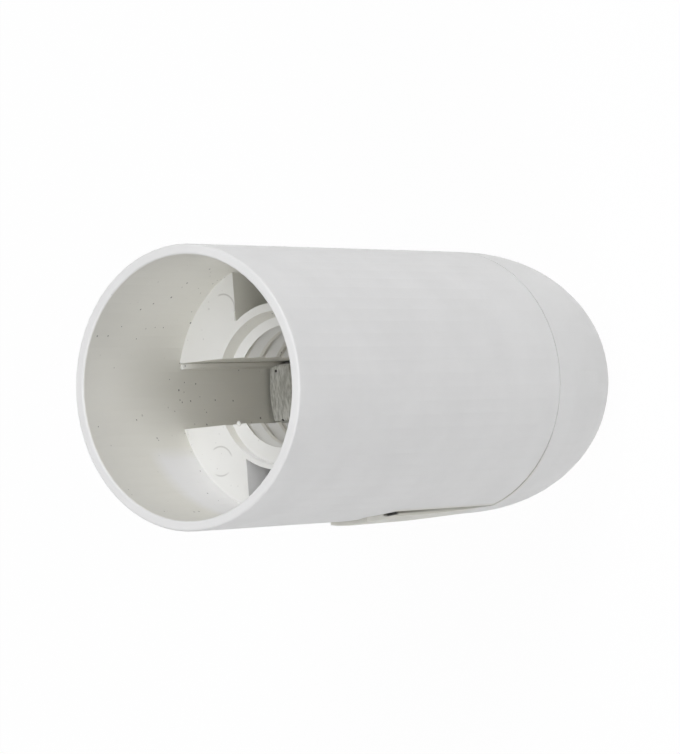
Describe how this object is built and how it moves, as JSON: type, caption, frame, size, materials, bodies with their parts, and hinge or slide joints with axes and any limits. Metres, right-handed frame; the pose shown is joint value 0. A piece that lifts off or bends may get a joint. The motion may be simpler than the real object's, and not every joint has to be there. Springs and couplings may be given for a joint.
{
  "type": "lamp holder",
  "caption": "Small Edison screw lamp holder: smooth tubular casing with moulded thread segments, latched domed cap, contact block, sprung contacts and a threaded cord entry.",
  "frame": {"origin": "centre of the cap's flat end, on the holder's axis", "axes": "+Z along the axis from the cap's flat end to the open mouth, X through the two slots that split the moulded thread, -Y through the cap's latch tongue"},
  "size_m": [0.028, 0.0283, 0.0605],
  "materials": {
    "casing": "fine satin, as moulded",
    "cap": "fine satin, as moulded",
    "block": "matte, as moulded",
    "entry": "turned and zinc plated",
    "screws": "zinc plated",
    "contacts": "rolled phosphor bronze strip",
    "terminals": "stamped brass"
  },
  "bodies": {
    "holder": {"outer_casing": "casing", "end_cap": "cap", "entry_sleeve": "entry", "contact_block": "block", "centre_rivet": "terminals", "side_rivet": "terminals", "centre_terminal": "terminals", "side_terminal": "terminals"},
    "centre_contact": {"centre_contact": "contacts"},
    "side_contact": {"side_contact": "contacts"},
    "centre_terminal_screw": {"centre_terminal_screw": "screws", "centre_clamp": "screws"},
    "side_terminal_screw": {"side_terminal_screw": "screws", "side_clamp": "screws"},
    "locking_screw": {"locking_screw": "screws"}
  },
  "joints": [
    {"name": "centre_contact_flex", "type": "hinge", "parent": "holder", "child": "centre_contact", "pos_m": [-0.0068, 0, 0.0227], "axis": [0, 1, 0], "range_deg": [0, 10], "stiffness_Nm_per_rad": 0.1},
    {"name": "side_contact_flex", "type": "hinge", "parent": "holder", "child": "side_contact", "pos_m": [0.0086, 0, 0.03], "axis": [0, 1, 0], "range_deg": [0, 4], "stiffness_Nm_per_rad": 0.1},
    {"name": "centre_screw_travel", "type": "slide", "parent": "holder", "child": "centre_terminal_screw", "axis": [0, 0, -1], "range_m": [0, 0.002]},
    {"name": "side_screw_travel", "type": "slide", "parent": "holder", "child": "side_terminal_screw", "axis": [0, 0, -1], "range_m": [0, 0.002]},
    {"name": "locking_screw_slide", "type": "slide", "parent": "holder", "child": "locking_screw", "axis": [-1, 0, 0], "range_m": [0, 0.0015]}
  ]
}
